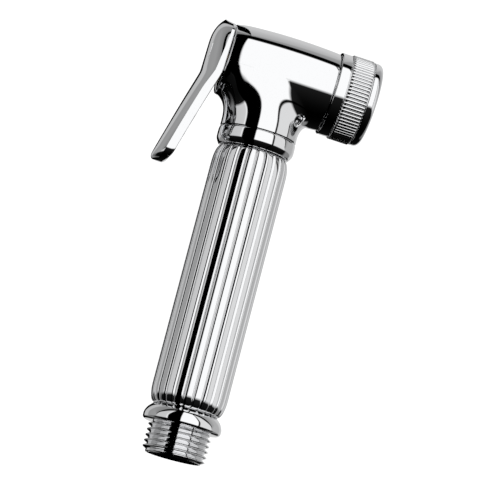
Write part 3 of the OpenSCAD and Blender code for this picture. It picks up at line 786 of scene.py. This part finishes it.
# Levels of the floor behind, from the back (0) to straight down (0.25)
BEHIND = [(0.0, 0.0), (0.02, 0.5), (0.14, 0.5), (0.18, 0.0)]
# Where that floor shows, round the part: not straight behind
ASIDE = [(0.0, 0.0), (0.06, 0.0), (0.1, 1.0), (0.86, 1.0), (0.9, 0.0)]
# Levels over the top: 0.5 is the front, 0.75 straight up and 1 the back
OVERHEAD = [(0.0, 0.6), (0.24, 0.6), (0.25, 1.0), (0.702, 1.0), (0.708, 0.0), (0.742, 0.0), (0.746, 0.4), (0.85, 0.6)]


class SHOWER_OT_stage(bpy.types.Operator):
    """Set the camera, the studio world, the lamp and the floor"""
    bl_idname = "shower.stage"
    bl_label = "Studio"

    azimuth, elevation, roll = 7.0, -8.5, 14.65
    distance, field = 1.0, 0.162
    aim = Vector((0.0071, 0.0, 0.0718))
    world_strength = 1.12
    floor_radius, floor_drop, floor_grey = 3.0, 0.0004, 0.93
    lamp_place, lamp_target = Vector((-0.45, -0.6, 0.75)), Vector((0, 0, 0.08))
    lamp_size, lamp_power = (0.6, 0.5), 2.5

    def camera(self, context):
        a, e = math.radians(self.azimuth), math.radians(self.elevation)
        away = Vector((-math.sin(a) * math.cos(e), -math.cos(a) * math.cos(e), math.sin(e)))
        data = bpy.data.cameras.new("camera")
        data.sensor_width = 36
        data.lens = data.sensor_width * self.distance / self.field
        data.clip_end = 20
        camera = bpy.data.objects.new("camera", data)
        look = away.to_track_quat("Z", "Y").to_matrix().to_4x4()
        camera.matrix_world = (Matrix.Translation(self.aim + away * self.distance) @ look
                               @ Matrix.Rotation(math.radians(self.roll), 4, "Z"))
        context.scene.collection.objects.link(camera)
        context.scene.camera = camera

    def world(self, context):
        """A white studio with one dark band beside the front light, a dark lower front and a grey ceiling."""
        world = bpy.data.worlds.new("studio")
        world.use_nodes = True
        context.scene.world = world
        nodes, links = world.node_tree.nodes, world.node_tree.links
        nodes.clear()
        way = nodes.new("ShaderNodeTexCoord")
        split = nodes.new("ShaderNodeSeparateXYZ")
        links.new(way.outputs["Generated"], split.inputs["Vector"])

        def calc(operation, *values):
            node = nodes.new("ShaderNodeMath")
            node.operation = operation
            for socket, value in zip(node.inputs, values):
                if isinstance(value, (int, float)):
                    socket.default_value = value
                else:
                    links.new(value, socket)
            return node.outputs["Value"]

        def ramp(value, stops):
            node = nodes.new("ShaderNodeValToRGB")
            elements = node.color_ramp.elements
            while len(elements) < len(stops):
                elements.new(0.5)
            for element, (at, level) in zip(elements, stops):
                element.position = at
                element.color = (level, level, level, 1)
            links.new(value, node.inputs["Fac"])
            return node.outputs["Color"]

        def mixed(blend, first, second):
            node = nodes.new("ShaderNodeMix")
            node.data_type = "RGBA"
            node.blend_type = blend
            node.inputs["Factor"].default_value = 1.0
            links.new(first, node.inputs["A"])
            links.new(second, node.inputs["B"])
            return node.outputs["Result"]

        forward = calc("MULTIPLY", split.outputs["Y"], -1)
        bearing = calc("ADD", calc("DIVIDE", calc("ARCTAN2", split.outputs["X"], forward), math.tau), 0.5)
        height = calc("ADD", calc("MULTIPLY", split.outputs["Z"], 0.5), 0.5)
        overhead = calc("ADD", calc("DIVIDE", calc("ARCTAN2", split.outputs["Z"], forward), math.tau), 0.5)
        behind = mixed("MULTIPLY", ramp(overhead, BEHIND), ramp(bearing, ASIDE))
        low = mixed("LIGHTEN", ramp(height, UP_DOWN), behind)
        pattern = mixed("MULTIPLY", mixed("MULTIPLY", ramp(bearing, AROUND), low), ramp(overhead, OVERHEAD))
        paths = nodes.new("ShaderNodeLightPath")
        seen = nodes.new("ShaderNodeMix")
        seen.data_type = "RGBA"
        seen.inputs["B"].default_value = (1, 1, 1, 1)
        links.new(paths.outputs["Is Camera Ray"], seen.inputs["Factor"])
        links.new(pattern, seen.inputs["A"])
        background = nodes.new("ShaderNodeBackground")
        background.inputs["Strength"].default_value = self.world_strength
        output = nodes.new("ShaderNodeOutputWorld")
        links.new(seen.outputs["Result"], background.inputs["Color"])
        links.new(background.outputs["Background"], output.inputs["Surface"])

    def floor(self, context):
        """A pale floor that is open from below, because the photograph looks up at the part."""
        bm = bmesh.new()
        bmesh.ops.create_circle(bm, cap_ends=True, segments=64, radius=self.floor_radius)
        floor = new_object("floor", bm)
        floor.data.transform(Matrix.Translation((0, 0, -self.floor_drop)))
        material = bpy.data.materials.new("Pale floor")
        material.use_nodes = True
        nodes, links = material.node_tree.nodes, material.node_tree.links
        shader = nodes["Principled BSDF"]
        shader.inputs["Base Color"].default_value = (*[self.floor_grey] * 3, 1)
        shader.inputs["Roughness"].default_value = 0.7
        grain = nodes.new("ShaderNodeTexNoise")
        grain.inputs["Scale"].default_value = 400
        relief = nodes.new("ShaderNodeBump")
        relief.inputs["Strength"].default_value = 0.05
        links.new(grain.outputs["Fac"], relief.inputs["Height"])
        links.new(relief.outputs["Normal"], shader.inputs["Normal"])
        side = nodes.new("ShaderNodeNewGeometry")
        clear = nodes.new("ShaderNodeBsdfTransparent")
        mix = nodes.new("ShaderNodeMixShader")
        links.new(side.outputs["Backfacing"], mix.inputs["Fac"])
        links.new(shader.outputs["BSDF"], mix.inputs[1])
        links.new(clear.outputs["BSDF"], mix.inputs[2])
        links.new(mix.outputs["Shader"], nodes["Material Output"].inputs["Surface"])
        floor.data.materials.append(material)
        floor.visible_glossy = False

    def lamp(self, context):
        data = bpy.data.lights.new("soft_box", "AREA")
        data.shape = "RECTANGLE"
        data.size, data.size_y = self.lamp_size
        data.energy = self.lamp_power
        lamp = bpy.data.objects.new("soft_box", data)
        look = (self.lamp_place - self.lamp_target).to_track_quat("Z", "Y").to_matrix().to_4x4()
        lamp.matrix_world = Matrix.Translation(self.lamp_place) @ look
        lamp.visible_glossy = False
        context.scene.collection.objects.link(lamp)

    def execute(self, context):
        self.camera(context)
        self.world(context)
        self.floor(context)
        self.lamp(context)
        context.scene.view_settings.view_transform = "Standard"
        return {"FINISHED"}


class SHOWER_PT_panel(bpy.types.Panel):
    """Panel that lists the pieces"""
    bl_idname = "SHOWER_PT_panel"
    bl_label = "Bidet shower"
    bl_space_type = "VIEW_3D"
    bl_region_type = "UI"
    bl_category = "Bidet shower"

    def draw(self, context):
        for group in (context.scene.shower_sizes, context.scene.shower_looks):
            for name in group.__annotations__:
                self.layout.prop(group, name)
        for operator in PIECES:
            self.layout.operator(operator.bl_idname)


PIECES = (SHOWER_OT_head, SHOWER_OT_ring, SHOWER_OT_handle, SHOWER_OT_connector, SHOWER_OT_lever, SHOWER_OT_nozzle,
          SHOWER_OT_spring, SHOWER_OT_finishes, SHOWER_OT_stage)
CLASSES = (ShowerSizes, ShowerLooks, SHOWER_PT_panel) + PIECES


def register():
    for cls in CLASSES:
        bpy.utils.register_class(cls)
    bpy.types.Scene.shower_sizes = bpy.props.PointerProperty(type=ShowerSizes)
    bpy.types.Scene.shower_looks = bpy.props.PointerProperty(type=ShowerLooks)


def unregister():
    del bpy.types.Scene.shower_looks
    del bpy.types.Scene.shower_sizes
    for cls in reversed(CLASSES):
        bpy.utils.unregister_class(cls)


def main():
    register()
    bpy.ops.shower.stage()
    bpy.ops.shower.head()
    bpy.ops.shower.ring()
    bpy.ops.shower.handle()
    bpy.ops.shower.connector()
    bpy.ops.shower.lever()
    bpy.ops.shower.nozzle()
    bpy.ops.shower.spring()
    bpy.ops.shower.finishes()


if __name__ == "__main__":
    main()
